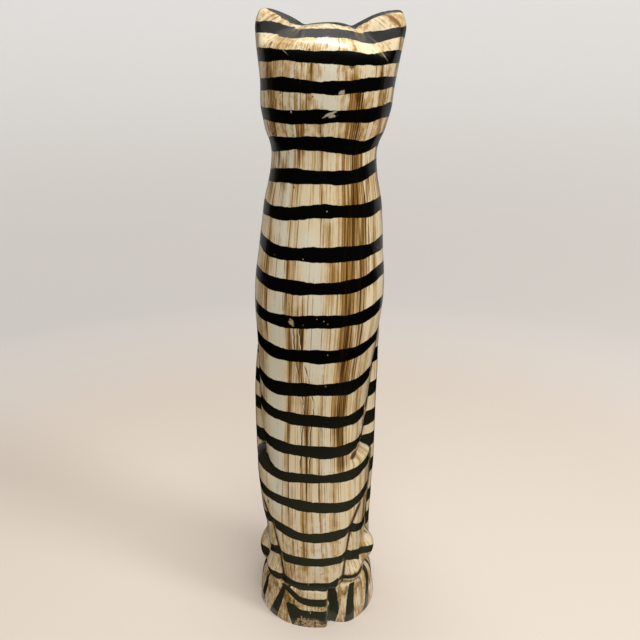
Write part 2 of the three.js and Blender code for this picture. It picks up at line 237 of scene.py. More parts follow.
def log_foot(u, y, z):
    radius = LOG_RADIUS - FOOT["taper"] * ramp(0, FOOT["taper_height"], z)
    behind = ramp(10, 20, y)
    cut = np.where(u < TAIL_CUT["inner"], ramp(TAIL_CUT["end"], TAIL_CUT["full"], u), 0)
    slot = nick(u - TAIL_SLOT["place"], TAIL_SLOT["half"]) * ramp(TAIL_SLOT["high"], TAIL_SLOT["low"], z)
    ring = np.hypot(u, y) - radius + TAIL_CUT["deep"] * cut * behind
    edge = FOOT["edge"] + (FOOT["side_edge"] - FOOT["edge"]) * ramp(36, 20, y)
    return meet(ring, z - foot_top(u, y), edge) + TAIL_SLOT["deep"] * slot * behind


def ear_top(u, y):
    side = np.abs(u)
    root = sided(u, LEFT_EAR, RIGHT_EAR, "root")
    t = np.clip((side - root) / sided(u, LEFT_EAR, RIGHT_EAR, "reach"), 0, 1)
    ear = sided(u, LEFT_EAR, RIGHT_EAR, "root_height")
    ear = ear + sided(u, LEFT_EAR, RIGHT_EAR, "rise") * (1 - (1 - t) ** 1.6)
    ear = ear - EAR_TIP["drop"] * (np.maximum(side - EAR_TIP["place"], 0) / EAR_TIP["round"]) ** 2
    ear = ear - np.maximum(root - side, 0)
    for edge, slope in EAR_FRONT:
        ear = ear - slope * np.maximum(edge - y, 0)
    for edge, slope in EAR_BACK:
        ear = ear - slope * np.maximum(y - edge, 0)
    return ear


def head_top(u, y):
    """The height of the head's top, with the crown between two ears."""
    side_drop = np.where(u > 0, CROWN["left_drop"], CROWN["right_drop"])
    crown = (CROWN["height"] - side_drop * (u / CROWN["half"]) ** 2
             - CROWN["fore_drop"] * (np.maximum(CROWN["middle"] - y, 0) / CROWN["fore_reach"]) ** 2
             - CROWN["back_drop"] * (np.maximum(y - CROWN["middle"], 0) / CROWN["back_reach"]) ** 2)
    return meet(crown, ear_top(u, y), 1.5)


def ear_crease(u, z, half):
    """The soft valley between the dome of the head and the back of an ear."""
    place = sided(u, LEFT_EAR, RIGHT_EAR, "root") + EAR_CREASE["out"]
    across = np.abs(u) - place - (EAR_CREASE["height"] - z) * EAR_CREASE["slant"]
    reach = ramp(EAR_CREASE["low"], EAR_CREASE["high"], z) * ramp(EAR_CREASE["top"], EAR_CREASE["height"], z)
    return np.exp(-(2 * across / half) ** 2) * reach


def ear_carving(u, y, z):
    side = np.abs(u)
    crease = ear_crease(u, z, EAR_CREASE["half"])
    up = np.clip((z - EAR_HOLLOW["low"]) / 38, 0, 1)
    wide = EAR_HOLLOW["wide"] - EAR_HOLLOW["narrower"] * up
    off = (side - EAR_HOLLOW["out"] - EAR_HOLLOW["drift"] * up) / wide
    hollow = np.exp(-off * off) * ramp(EAR_HOLLOW["low"], 484, z) * ramp(EAR_HOLLOW["high"], 498, z)
    crease = crease * np.where(u > 0, EAR_CREASE["left_deep"], EAR_CREASE["right_deep"])
    return crease * ramp(8, 16, y) + EAR_HOLLOW["deep"] * hollow * ramp(4, -5, y)


def face(side, y, z):
    solid = join(lump(MUZZLE, side, y, z), lump(WHISKER_PAD, side, y, z), 3)
    solid = join(solid, lump(CHIN, side, y, z), 3)
    solid = join(solid, lump(NOSE_BRIDGE, side, y, z), 7)
    solid = join(solid, lump(NOSE, side, y, z), 1.2)
    return join(solid, lump(CHEEK, side, y, z), 8)


def eye_edge(side, z):
    """How far a point is outside the almond of the eye."""
    x = side - EYE["out"]
    h = z - EYE["up"]
    lengthwise = x * 0.96 + h * EYE["tilt"]
    upward = h * 0.96 - x * EYE["tilt"]
    return np.abs(upward) - EYE["tall"] * (1 - (lengthwise / EYE["half"]) ** 2)


def eye_carving(side, y, z):
    front = ramp(-8, -20, y)
    x = (side - EYE["out"]) / EYE_SOCKET["wide"]
    h = (z - EYE["up"]) / EYE_SOCKET["tall"]
    socket = np.exp(-(x * x + h * h) ** 1.5)
    return (EYE_SOCKET["deep"] * socket - EYE["proud"] * ramp(0.6, -3.4, eye_edge(side, z))) * front


def mouth_line(side, z):
    """How far a point is from the cut of the mouth."""
    smile = np.abs(z - 430.5 - 0.035 * side ** 2) + np.maximum(side - 13, 0)
    seam = side + np.maximum(z - 441, 0) + np.maximum(430.5 - z, 0)
    return np.minimum(smile, seam)


# The finer carving, on top of the main forms
HAND = dict(deep=0.22, across=0.19, along=0.075)
EYE_LINE = dict(deep=0.8, half=1.3)
MOUTH_CUT = dict(deep=0.9, half=1.5)
# A knock on the back that took the paint off
KNOCK = dict(out=17.4, up=282.4, radius=2.9, deep=0.6)
# The worn lower edge of the tail: [angle, height], and how deep the wear goes
WORN_EDGE = [(68, -6), (72, 1), (76.3, 7.5), (83, 10.4), (88, 9), (97.4, 7.2), (103, 3.5), (106.5, 1.7),
             (109, -4)]
WORN_DEEP = 1.0
# What stands for far outside a painted or worn place
FAR = -6.0


def rough(x, y, z):
    """An uneven value between about -1 and 1 that never repeats over the figure."""
    a = np.sin(x * 1.31 + 2.1 * np.sin(z * 0.83 + 0.4)) * np.sin(z * 1.07 + 1.7 * np.sin(y * 0.71 + 1.9))
    b = np.sin(y * 1.83 + 1.3 * np.sin(x * 1.17 + 2.6)) * np.sin(z * 1.61 + x * 0.47 + 0.8)
    return 0.55 * a + 0.45 * b


def fine_carving(u, y, z):
    side = np.abs(u)
    uneven = rough(u * HAND["across"], y * HAND["across"], z * HAND["along"])
    front = ramp(-22, -30, y)
    lines = EYE_LINE["deep"] * nick(eye_edge(side, z) - 0.4, EYE_LINE["half"]) * ramp(-10, -18, y)
    lines = lines + MOUTH_CUT["deep"] * nick(mouth_line(side, z), MOUTH_CUT["half"]) * front
    knock = np.hypot(u - KNOCK["out"], z - KNOCK["up"]) / KNOCK["radius"]
    dent = KNOCK["deep"] * ramp(1.15, 0.6, knock + 0.15 * rough(u * 1.3, y, z * 1.3)) * ramp(10, 20, y)
    worn = ramp(-0.5, 1.5, worn_edge(u, y, z))
    flecks = WORN_DEEP * worn * (0.55 + 0.45 * rough(u * 1.1, y * 0.5, z * 1.2))
    return HAND["deep"] * uneven + lines + dent + flecks


def worn_edge(u, y, z):
    """How far a point is inside the part of the tail's lower edge that is worn to the wood, in mm."""
    angle = np.degrees(np.arctan2(y, u)) % 360
    return np.where(y > 20, along(WORN_EDGE, angle) - z, FAR)


def figure(x, y, z):
    """Roughly how far a point is outside the whole figure, negative inside it."""
    u = x - along(BEND, z)
    side = np.abs(u)
    solid = join(trunk(u, y, z), foreleg(side, y, z), 3)
    solid = solid + leg_cuts(side, y, z)
    solid = feet(solid, u, y, z)
    solid = join(solid, log_foot(u, y, z), 1.5)
    solid = meet(solid, (z - head_top(u, y)) * 0.7, 3)
    solid = solid + ear_carving(u, y, z)
    solid = join(solid, face(side, y, z), 6)
    return solid + eye_carving(side, y, z) + fine_carving(u, y, z)


def carving_rows():
    """[height, lift, core] of each row of strokes, from the foot upwards."""
    rows = []
    for low, high, count in CARVING_ROWS:
        rows += [(height, 0, 0) for height in np.linspace(low, high, count, endpoint=False)]
    rows += [(HEAD_MIDDLE, lift, HEAD_CORE) for lift in np.linspace(0, np.pi / 2, HEAD_ROWS, endpoint=False)]
    rows += [(HEAD_MIDDLE, np.pi / 2, core) for core in np.linspace(HEAD_CORE, 0, CROWN_ROWS, endpoint=False)]
    return np.array(rows, float)


def carve(rows, angles):
    """Where each stroke reaches the figure, as an array of rows by angles by three."""
    height, lift, core = (rows[:, i:i + 1] for i in range(3))
    angles = angles[None, :]
    start_x = along(BEND, height) + core * np.cos(angles)
    start_y = core * np.sin(angles)
    way_x = np.cos(angles) * np.cos(lift)
    way_y = np.sin(angles) * np.cos(lift)
    way_z = np.sin(lift) + 0 * angles

    def outside(r):
        return figure(start_x + way_x * r, start_y + way_y * r, height + way_z * r) > 0

    r = np.full(way_x.shape, float(REACH))
    travelling = np.ones(way_x.shape, bool)
    while travelling.any():
        travelling &= outside(r) & (r > 0)
        r = np.where(travelling, r - STEP, r)
    low, high = r, r + STEP
    for _ in range(11):
        middle = (low + high) / 2
        out = outside(middle)
        low, high = np.where(out, low, middle), np.where(out, middle, high)
    r = (low + high) / 2
    return np.stack([start_x + way_x * r, start_y + way_y * r, height + way_z * r], -1)


# The painted stripes: thickness, then the middle line's height at five places across the back
PLACES = (15, 50, 90, 130, 165)
STRIPES = [
    (7.4, 494.4, 488.8, 488.0, 484.9, 490.8),
    (8.3, 476.4, 474.0, 471.2, 470.4, 474.7),
    (8.8, 456.0, 454.5, 452.0, 454.4, 456.8),
    (9.4, 436.0, 433.6, 433.2, 433.5, 438.0),
    (10.2, 413.5, 414.5, 414.4, 412.0, 417.6),
    (10.0, 390.4, 391.6, 391.4, 392.0, 397.8),
    (10.0, 367.9, 364.9, 366.9, 366.4, 370.0),
    (10.9, 345.0, 336.0, 335.3, 336.4, 339.8),
    (10.2, 317.4, 311.4, 310.0, 312.0, 319.3),
    (10.5, 289.5, 283.7, 283.2, 284.7, 291.9),
    (11.0, 265.0, 255.4, 254.6, 256.0, 263.0),
    (11.5, 230.7, 224.6, 225.8, 225.0, 230.5),
    (10.5, 206.5, 201.0, 197.6, 195.4, 197.0),
    (10.5, 174.0, 171.8, 170.0, 168.8, 169.0),
    (8.8, 151.0, 145.8, 145.4, 144.3, 148.4),
    (9.5, 125.8, 122.6, 118.9, 116.9, 121.2),
    (9.4, 97.0, 95.5, 89.4, 91.0, 82.0),
    (8.8, 54.0, 66.0, 64.6, 64.0, 54.0),
]
# The back of the highest stripe, which dips where the ears begin: [angle, height] of its edges
CROWN_STRIPE = dict(
    upper=[(15, 497.8), (19, 498.4), (21, 497.6), (25.3, 495.3), (34, 493.3), (51, 491.4), (57, 491.8),
           (81, 491.5), (100, 491.5), (112, 490.7), (124, 490.2), (141, 489.3), (150, 490.5), (157, 491.4),
           (161, 492.9), (169, 494.2)],
    lower=[(15, 490.3), (23, 489.9), (26, 489.1), (47, 485.5), (58, 484.5), (68, 484.9), (85, 484.5),
           (99, 484.4), (112, 484.3), (121, 483), (130, 481.6), (139, 481.6), (151, 482.9), (155.4, 484.8),
           (159, 486.2), (169, 487.5)],
)
# Shorter stripes on the forelegs: heights on the left leg and on the right one, and their thickness
LEFT_LEG_STRIPES = (272, 244, 217, 190, 162, 135, 108, 80, 48)
RIGHT_LEG_STRIPES = (272.5, 238, 207.5, 181.5, 156.5, 130, 99, 72, 47)
LEG_STRIPE = 13.4
# Stripes low on the hind paws: height where y is 8, slope towards the back, and thickness
LEFT_PAW_STRIPE = (45.2, 0.29, 10)
RIGHT_PAW_STRIPE = (51.5, 0.5, 7)
# The lowest stripe, along the rump's edge and the left foot: [angle, height] of its edges
RUMP_STRIPE = dict(
    upper=[(30, 44), (36, 45), (48, 46.3), (55, 44), (62, 44.7), (67, 43.3), (77, 41.9), (93, 42.9),
           (106, 42.5), (111, 43.6), (116, 46)],
    lower=[(30, 40), (36, 40.5), (48, 38), (56, 38), (66, 37.6), (78, 36.6), (93, 36.9), (105, 35.7),
           (116, 38)],
)
# Upright stripes on the foot: angle at the top and at the floor, and half width at both in mm
FOOT_STRIPES = [
    (34, 24, 2.6, 4.0), (60.5, 46.8, 2.0, 5.3), (132.3, 127.2, 3.0, 4.8), (165, 149.5, 3.4, 4.1),
    (177, 173, 1.6, 2.0), (206, 203, 3.4, 4.4), (232, 236, 3.2, 4.6), (259, 262, 3, 4.8),
    (286, 283, 3.2, 4.6), (312, 309, 3, 4.6), (339, 343, 3.2, 4.4), (3, 0, 2.8, 4.0),
]
# Bands on the tail: [angle, height] of their edges
TAIL_BANDS = [
    dict(upper=[(53, 41), (59, 38.4), (68, 35.9), (73.6, 32.3), (78, 29.6), (88, 28.5), (98, 28.3),
                (112, 27.6)],
         lower=[(53, 41), (56, 37), (61, 33.3), (68, 28.4), (74.6, 24.2), (83, 21.9), (96, 20.8),
                (112, 20.5)]),
    dict(upper=[(61.5, 17.2), (63.2, 19.4), (70.5, 20.1), (78, 17.2), (88, 16.7), (102, 16.4), (112, 15.8)],
         lower=[(61.5, 18.5), (63.3, 17), (65.6, 10.7), (68, 5.5), (70.2, 0.5), (72, -2), (112, -2)]),
]
# The dark slot beside the tail: [height, angle, half width in mm]
TAIL_SLOT_PAINT = [(0, 111.7, 1.6), (3, 112, 2.2), (12, 113.6, 3.7), (22, 113, 4.1), (35, 111.3, 3.4),
                   (44, 115.5, 2.4), (47, 117, 0)]
# How far back the black on top of each ear reaches: [distance out, place]
LEFT_RIM = [(14, 9.4), (18, 11.2), (24, 12.9), (31, 13.5), (38, 12.6), (44, 10.8), (48.5, 8)]
RIGHT_RIM = [(12, 10.4), (16, 12), (26, 12.8), (34, 12), (42, 11.4), (50, 10.8), (53.5, 8.5)]
# How far back the black on the crown reaches: [place across, place]
BROW = [(-20, 13.2), (-16, 15.2), (-10, 20.5), (-4, 20), (4, 17), (12, 15.6), (17, 15.2), (20, 13.4)]
# Brown columns in the cream paint, the one down the left edge being painted shade: [height, place across]
# down each, half width, low, high, strength
BROWN_AND_SHADE_COLUMNS = [
    ([(130, -26), (185, -26.5), (243, -25.5), (272, -23.5), (324, -24.5), (352, -25.5), (402, -24.5),
      (424, -23.5), (444, -24), (464, -20)], 5.2, 150, 458, 1.0),
    ([(60, -22), (133, -22)], 3.5, 55, 150, 0.45),
    ([(180, -33.5), (240, -34), (300, -33.5), (352, -34.5), (400, -34.5)], 3, 225, 402, 0.75),
    ([(340, -41), (400, -40)], 5, 335, 405, 0.45),
    ([(285, 19), (310, 21)], 5, 284, 312, 0.5),
    ([(214, -36), (300, -37)], 3.2, 190, 335, 0.45),
    ([(60, 17), (133, 17.5), (214, 17), (272, 19), (324, 20.5)], 2.5, 45, 335, 0.7),
    ([(60, 4), (133, 3.5), (158, 2.5), (185, 1), (214, 2), (243, 8.5), (272, 11)], 3.4, 55, 282, 0.6),
    ([(402, 29.5), (424, 34), (444, 36), (464, 40)], 3.8, 385, 470, 0.8),
    ([(379, 15), (402, 14.5), (424, 13.5), (444, 11), (464, 10)], 3.2, 405, 475, 0.62),
    ([(352, -4), (379, -1.5), (402, 0), (424, 0.5)], 2.4, 340, 436, 0.42),
    ([(324, -42), (352, -38), (379, -40)], 3, 305, 395, 0.5),
    ([(424, -42), (444, -42.5), (464, -38.5)], 2.6, 410, 475, 0.7),
    # Painted shade down the left edge of the back, where the side turns away from the light
    ([(200, 38), (300, 40.5), (380, 37.5)], 3.2, 190, 400, 0.5),
    ([(324, -13), (340, -8)], 4, 305, 360, 0.45),
]
# Places where the cream paint is clean and grey, in the same way
GREY_PATCHES = [
    ([(120, 26), (260, 29), (410, 25)], 7, 110, 415, 1.0),
    ([(240, -6), (300, 1), (350, 8)], 7, 235, 352, 0.9),
    ([(120, -12), (230, -11)], 6, 60, 240, 0.6), ([(440, -5), (470, -4)], 8, 434, 478, 0.9),
    ([(370, 20), (470, 21)], 4.5, 368, 472, 0.7), ([(60, -6), (100, -9)], 5, 55, 115, 0.6),
]
# Drying cracks that run down the back: [height, place across]
CRACKS = [
    [(150, 8.4), (166, 7.5), (180, 6.6), (194, 5.8), (205, 5.2), (216, 6.4), (233, 10.3), (249, 12.6),
     (262, 15.5), (285, 17)],
    [(150, 0), (175, -0.2), (190, -0.8), (209, -2.7), (221, -0.7), (243, 5), (258, 9), (272, 11.5),
     (285, 12)],
]
# Streaks are placed as if the log's radius were the same all the way up, outside its core
EVEN_LOG = dict(radius=47, core=32)
# The bare part of the face, with its half width above each of three heights and below them
BARE_FACE = dict(low=423, top=482, heights=(480, 462, 444), halves=(0, 27, 41), chin_half=36)
# The slit pupils' half width and half height
PUPIL = dict(wide=2.1, tall=5.4)


def stripe_wave(turn, seed):
    """How far a hand painted edge strays, round the whole figure, in mm."""
    return (0.42 * np.sin(3 * turn + 2.3 * seed) + 0.36 * np.sin(5 * turn + 4.1 * seed + 1)
            + 0.26 * np.sin(9 * turn + 1.7 * seed + 2) + 0.18 * np.sin(15 * turn + 3.3 * seed))


def round_the_body(heights, angle):
    """A stripe's height at any angle: given across the back, evened out round the front."""
    places = np.array(PLACES + (195, 270, 345, 375), float)
    front = (heights[0] + heights[-1]) / 2
    ring = np.array(list(heights) + [heights[-1], front, heights[0], heights[0]], float)
    return along(list(zip(places, ring)), np.where(angle < 15, angle + 360, angle))


def between(band, angle, z):
    """How far a point is inside a painted band, in mm."""
    return np.minimum(along(band["upper"], angle) - z, z - along(band["lower"], angle))


def columns(listed, u, y, z):
    """How strongly upright columns of colour show on the back, 1 in the middle of a full one."""
    strongest = np.zeros(u.shape)
    for path, half, low, high, strength in listed:
        reach = ramp(low - 8, low + 8, z) * ramp(high + 8, high - 8, z)
        sway = 0.8 * np.sin(z / 23 + low) + 0.4 * np.sin(z / 9 + high)
        shown = reach * np.exp(-((u - along(path, z) - sway) / half) ** 2)
        strongest = np.maximum(strongest, strength * shown)
    return strongest * ramp(0, 8, y)


def paint(points):
    """What is painted where: named values and named vectors for each point of the surface."""
    x, y, z = np.moveaxis(points, -1, 0)
    u = x - along(BEND, z)
    side = np.abs(u)
    turn = np.arctan2(y, u)
    angle = np.degrees(turn) % 360
    radius = np.hypot(u, y)

    body = np.full(u.shape, FAR)
    for number, (thick, *heights) in enumerate(STRIPES):
        middle = round_the_body(heights, angle)
        upper = middle + thick / 2 + stripe_wave(turn, number) - z
        lower = z - middle + thick / 2 + stripe_wave(turn, number + 40)
        band = np.minimum(upper, lower)
        if number == 0:
            band = np.where((angle > 15) & (angle < 168), between(CROWN_STRIPE, angle, z), band)
        body = np.maximum(body, band)
    # The face stays bare but for the ends of the stripes on its cheeks
    in_front = ramp(-8, -24, y)
    above = [z > height for height in BARE_FACE["heights"]]
    bare_half = np.select(above, BARE_FACE["halves"], BARE_FACE["chin_half"])
    face_edge = np.minimum(bare_half - side, z - BARE_FACE["low"]) * ramp(0.2, 0.8, in_front)
    on_face = (in_front > 0.2) & (z > BARE_FACE["low"]) & (z < BARE_FACE["top"])
    body = np.where(on_face, np.minimum(body, -face_edge), body)

    # The lowest stripe behind, and the forelegs, which have stripes of their own
    rump_stripe = between(RUMP_STRIPE, angle, z)
    body = np.maximum(body, np.where((angle < 117) & (angle > 30), rump_stripe, FAR))
    leg = np.full(u.shape, FAR)
    for left, right in zip(LEFT_LEG_STRIPES, RIGHT_LEG_STRIPES):
        middle = np.where(u > 0, left, right) + 1.2 * np.sin(turn * 3 + left)
        leg = np.maximum(leg, LEG_STRIPE / 2 + 0.6 * np.sin(turn * 7 + right) - np.abs(z - middle))
    on_leg = (foreleg(side, y, z) < trunk(u, y, z) - 0.2) & (y < 6) & (z < LEG_TOP - 6)
    on_paw = (y < -18) & (z < 62)
    dark = np.where(on_leg | on_paw, leg, body)

    # The hind paws
    at_paw = (y > -16) & (y < 24) & (z < 64) & (side > 40.5)
    for sign, (middle, slope, thick) in ((1, LEFT_PAW_STRIPE), (-1, RIGHT_PAW_STRIPE)):
        band = thick / 2 - np.abs(z - middle - slope * (y - 8))
        dark = np.where(at_paw & (u * sign > 0), np.minimum(band, side - 40.5), dark)

    # The foot
    foot = np.full(u.shape, FAR)
    share = np.clip(z / 36, 0, 1)
    for top, low, half_top, half_low in FOOT_STRIPES:
        place = low + (top - low) * share
        half = half_low + (half_top - half_low) * share
        away = (angle - place + 180) % 360 - 180
        foot = np.maximum(foot, half - np.abs(np.radians(away)) * radius)
    tail = np.maximum(between(TAIL_BANDS[0], angle, z), between(TAIL_BANDS[1], angle, z))
    slot_place = along([(up, place) for up, place, _ in TAIL_SLOT_PAINT], z)
    slot_half = along([(up, half) for up, _, half in TAIL_SLOT_PAINT], z)
    slot = slot_half - np.abs(np.radians(angle - slot_place)) * radius
    on_tail = (angle > 53) & (angle < 110)
    foot = np.where(on_tail, np.maximum(tail, foot), foot)
    on_foot = (z < foot_top(u, y) - 0.6) & (log_foot(u, y, z) < 1.2)
    dark = np.where(on_foot, np.where(on_tail, np.maximum(foot, rump_stripe), foot), dark)
    dark = np.maximum(dark, np.where((z < 47) & (y > 0), slot, FAR))
    # Painted black along the crevice under the right heel, for the shade there and the dirt in it
    heel_line = np.abs(z - 43.5 - 0.07 * (angle - 120))
    heel_half = 1.9 - 0.055 * np.maximum(angle - 122, 0)
    dark = np.maximum(dark, np.where((angle > 114) & (angle < 150), heel_half - heel_line, FAR))

    # Black on top of the ears and over the crown
    rim_place = np.where(u > 0, along(LEFT_RIM, side), along(RIGHT_RIM, side))
    rim_end = np.where(u > 0, 48.5, 53.5) - side
    rim = np.minimum(np.minimum(rim_end, rim_place - y), np.minimum(z - ear_top(u, y) + 1.8, y + 9))
    rim = np.where((z > 490) & (side > 14), rim, FAR)
    brow = np.minimum(along(BROW, u) - y, y + 12)
    brow = np.where((z > 488) & (side < 20), brow, FAR)
    dark = np.maximum(dark, np.maximum(rim, brow))

    # The face: outlined eyes with slit pupils, the nose and the mouth
    before = y < -14
    eye = eye_edge(side, z)
    outline = 1.0 - np.abs(eye - 0.3)
    pupil = 1 - np.hypot((side - EYE["out"]) / PUPIL["wide"], (z - EYE["up"]) / PUPIL["tall"])
    pupil = pupil * PUPIL["wide"]
    nose = np.minimum(5.6 - side - np.maximum(441.5 - z, 0) * 1.2, np.minimum(z - 438.5, 448 - z))
    nose = np.minimum(nose, -y - 42)
    drawn = np.maximum(np.maximum(outline, np.minimum(pupil, -eye)), nose)
    dark = np.where(before & (z > BARE_FACE["low"]) & (z < 474), np.maximum(dark, drawn), dark)
    iris = np.where(before, -eye - 0.4, FAR)

    # Where dark glaze has settled in the cuts, together with painted shade in the same cuts, where the legs
    # meet the body and under the feet
    fold, _ = thigh_fold(u, y, z)
    fold_line = nick(fold - 3.2, 2.2) * ramp(31, 36, side) * ramp(-10, 0, y) * (z > 120)
    groove = nick(side - along(RUMP_GROOVE, z), 2 + ramp(92, 104, z))
    groove = groove * ramp(118, 108, z) * ramp(5, 12, y) * (z > 38)
    haunch = nick(y - LEG_NICK["place"], 2.4) * ramp(36, 42, side) * ramp(58, 66, z) * ramp(160, 150, z)
    leg_edge = nick(foreleg(side, y, z) - trunk(u, y, z), 2.2) * (y < 8) * (z < LEG_TOP - 6) * (z > 60)
    haunch_notch = 1.6 * nick(np.hypot(u + 36.6, (z - 160) * 0.8), 3.2) * (y > 0)
    under = nick(z - foot_top(u, y) - 1.2, 2.4) * (radius > 30)
    ear_line = ear_crease(u, z, 1.6) * ramp(8, 14, y)
    mouth = nick(mouth_line(side, z), 1.4) * (y < -26) * (z > 424)
    toes = sum(nick(side - out, 1.6) for out in TOE_LINES["out"]) * (y < -42) * (z < 60)
    heel_line = nick(heel_line, 3.6) * ramp(112, 117, angle) * ramp(156, 146, angle)
    crease = np.maximum.reduce([fold_line, groove, haunch, 0.7 * leg_edge, 0.8 * under, 0.4 * ear_line,
                                heel_line, haunch_notch, mouth, toes])
    # Brown, stronger towards the bottom and in a band at the top of the foot, and weaker on a cream patch
    # behind the tail
    low_brown = ramp(52, 30, z) * (0.40 + 0.45 * rough(u * 0.16, y * 0.16, z * 0.14))
    lens = ramp(76, 82, angle) * ramp(108, 104, angle) * ramp(27, 29, z) * ramp(38, 36, z)
    low_brown = np.maximum(low_brown, 0.35 * ramp(34, 38, z) * ramp(46, 40, z)) - 0.6 * lens

    streak_and_shade, grey = columns(BROWN_AND_SHADE_COLUMNS, u, y, z), columns(GREY_PATCHES, u, y, z)
    cracks = [u - along(path, z) for path in CRACKS]

    knock = np.hypot(u - KNOCK["out"], z - KNOCK["up"]) / KNOCK["radius"]
    bare = np.maximum(np.clip(worn_edge(u, y, z), -3, 1.4), np.where(y > 0, 1.4 * (1 - knock ** 2), -3))
    # Streaks run along the log's skin, so their places are taken as if it were evenly thick
    even = EVEN_LOG["radius"] / np.maximum(radius, EVEN_LOG["core"])
    vectors = dict(grain=np.stack([u, y, z], -1), skin=np.stack([u * even, y * even, z], -1))
    named = dict(dark=dark, iris=iris, crease=crease, low_brown=low_brown, streak_and_shade=streak_and_shade, grey=grey, bare=bare)
    return dict(named, first_crack=cracks[0], second_crack=cracks[1]), vectors


def tube_faces(rows, columns):
    """The faces between rows of points that each close round."""
    here = np.arange(rows * columns).reshape(rows, columns)
    beside = np.roll(here, -1, axis=1)
    return np.stack([here[:-1], beside[:-1], beside[1:], here[1:]], -1).reshape(-1, 4).tolist()


def carved_cat():
    rows = carving_rows()
    turns = np.arange(SEGMENTS) / SEGMENTS * 2 * np.pi
    surface = carve(rows, turns)
    top = carve(np.array([[HEAD_MIDDLE, np.pi / 2, 0.0]]), np.zeros(1))[0, 0]
    # The sawn underside, as rings closing on the middle
    sheet = np.concatenate([[surface[0] * share for share in SOLE_RINGS], surface])
    points = np.concatenate([sheet.reshape(-1, 3), top[None], [[0, 0, 0]]])
    peak, bottom = len(points) - 2, len(points) - 1
    last = len(sheet) * SEGMENTS - SEGMENTS
    beside = [(j, (j + 1) % SEGMENTS) for j in range(SEGMENTS)]
    cap = [(last + a, last + b, peak) for a, b in beside]
    base = [(b, a, bottom) for a, b in beside]

    # Set in the middle of the solid's box, and made no wider or taller than it
    low, high = (np.array(corner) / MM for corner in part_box("carved_cat"))
    least, most = surface.min((0, 1)), surface.max((0, 1))
    middle = (least + most) / 2
    shift = ((low + high) / 2 - middle) * (1, 1, 0)
    fit = np.minimum((high - low) / (most - least), 1)
    placed = (points - middle) * fit + middle + shift
    placed[:, 2] = points[:, 2] * fit[2]
    mesh = bpy.data.meshes.new("carved_cat_figure")
    mesh.from_pydata((placed * MM).tolist(), [], tube_faces(len(sheet), SEGMENTS) + cap + base)
    mesh.polygons.foreach_set("use_smooth", np.ones(len(mesh.polygons), bool))
    mesh.update()

    values, vectors = paint(points)
    for name, value in values.items():
        mesh.attributes.new(name, "FLOAT", "POINT").data.foreach_set("value", value.astype(np.float32))
    for name, value in vectors.items():
        vector = mesh.attributes.new(name, "FLOAT_VECTOR", "POINT").data
        vector.foreach_set("vector", value.astype(np.float32).ravel())
    figure_object = bpy.data.objects.new("carved_cat_figure", mesh)
    bpy.context.collection.objects.link(figure_object)
    return figure_object


class Nodes:
    """A material, and short steps that add nodes to it."""

    def __init__(self, name):
        self.material = bpy.data.materials.new(name)
        self.material.use_nodes = True
        self.tree = self.material.node_tree
        self.tree.nodes.clear()

    def add(self, kind, inputs=None, **settings):
        node = self.tree.nodes.new(kind)
        for key, value in settings.items():
            setattr(node, key, value)
        for key, value in (inputs or {}).items():
            if isinstance(value, bpy.types.NodeSocket):
                self.tree.links.new(value, node.inputs[key])
            else:
                node.inputs[key].default_value = value
        return node

    def show(self, shader):
        """Ends the material with this shader."""
        out = self.add("ShaderNodeOutputMaterial")
        self.tree.links.new(shader.outputs[0], out.inputs[0])
        return self.material

    def math(self, operation, a, b=0.0, c=0.0):
        return self.add("ShaderNodeMath", {0: a, 1: b, 2: c}, operation=operation).outputs[0]

    def times(self, a, b):
        return self.math("MULTIPLY", a, b)

    def scaled(self, value, share, plus):
        return self.math("MULTIPLY_ADD", value, share, plus)

    def off_middle(self, value, share, plus=0.0):
        """plus, and a share of how far value is above 0.5."""
        return self.scaled(self.math("SUBTRACT", value, 0.5), share, plus)

    def spread(self, value, low, high, to_low=0.0, to_high=1.0):
        """value eased from low to high."""
        inputs = {"Value": value, "From Min": low, "From Max": high, "To Min": to_low, "To Max": to_high}
        node = self.add("ShaderNodeMapRange", inputs, interpolation_type="SMOOTHSTEP", clamp=True)
        return node.outputs[0]

    def mix(self, share, a, b):
        a, b = ((*colour, 1) if isinstance(colour, tuple) else colour for colour in (a, b))
        return self.add("ShaderNodeMix", {0: share, 6: a, 7: b}, data_type="RGBA").outputs[2]

    def value(self, name, output="Fac"):
        return self.add("ShaderNodeAttribute", attribute_name=name).outputs[output]

    def noise(self, place, across, upward, detail=2.0, roughness=0.5, shift=0.0):
        """Noise in mm space, stretched along the log when upward is small."""
        mapped = self.add("ShaderNodeMapping", {"Vector": place, "Scale": (across, across, upward),
                                                "Location": (shift, shift * 0.7, shift * 1.3)})
        inputs = {"Vector": mapped.outputs[0], "Scale": 1.0, "Detail": detail, "Roughness": roughness}
        return self.add("ShaderNodeTexNoise", inputs).outputs["Fac"]


PALE = (0.77, 0.72, 0.56)
CREAM = (0.78, 0.655, 0.435)
TAN = (0.60, 0.42, 0.19)
AMBER = (0.37, 0.195, 0.045)
RUST = (0.19, 0.074, 0.010)
BROWN = (0.082, 0.030, 0.003)
# The next colour is dark glaze in the cuts and the painted shade there
GLAZE_AND_SHADE = (0.045, 0.022, 0.009)
BLACK = (0.0014, 0.0018, 0.0014)
OLIVE = (0.031, 0.032, 0.018)
IRIS = (0.42, 0.30, 0.04)
RAW = (0.44, 0.31, 0.17)
PUTTY = (0.50, 0.46, 0.37)

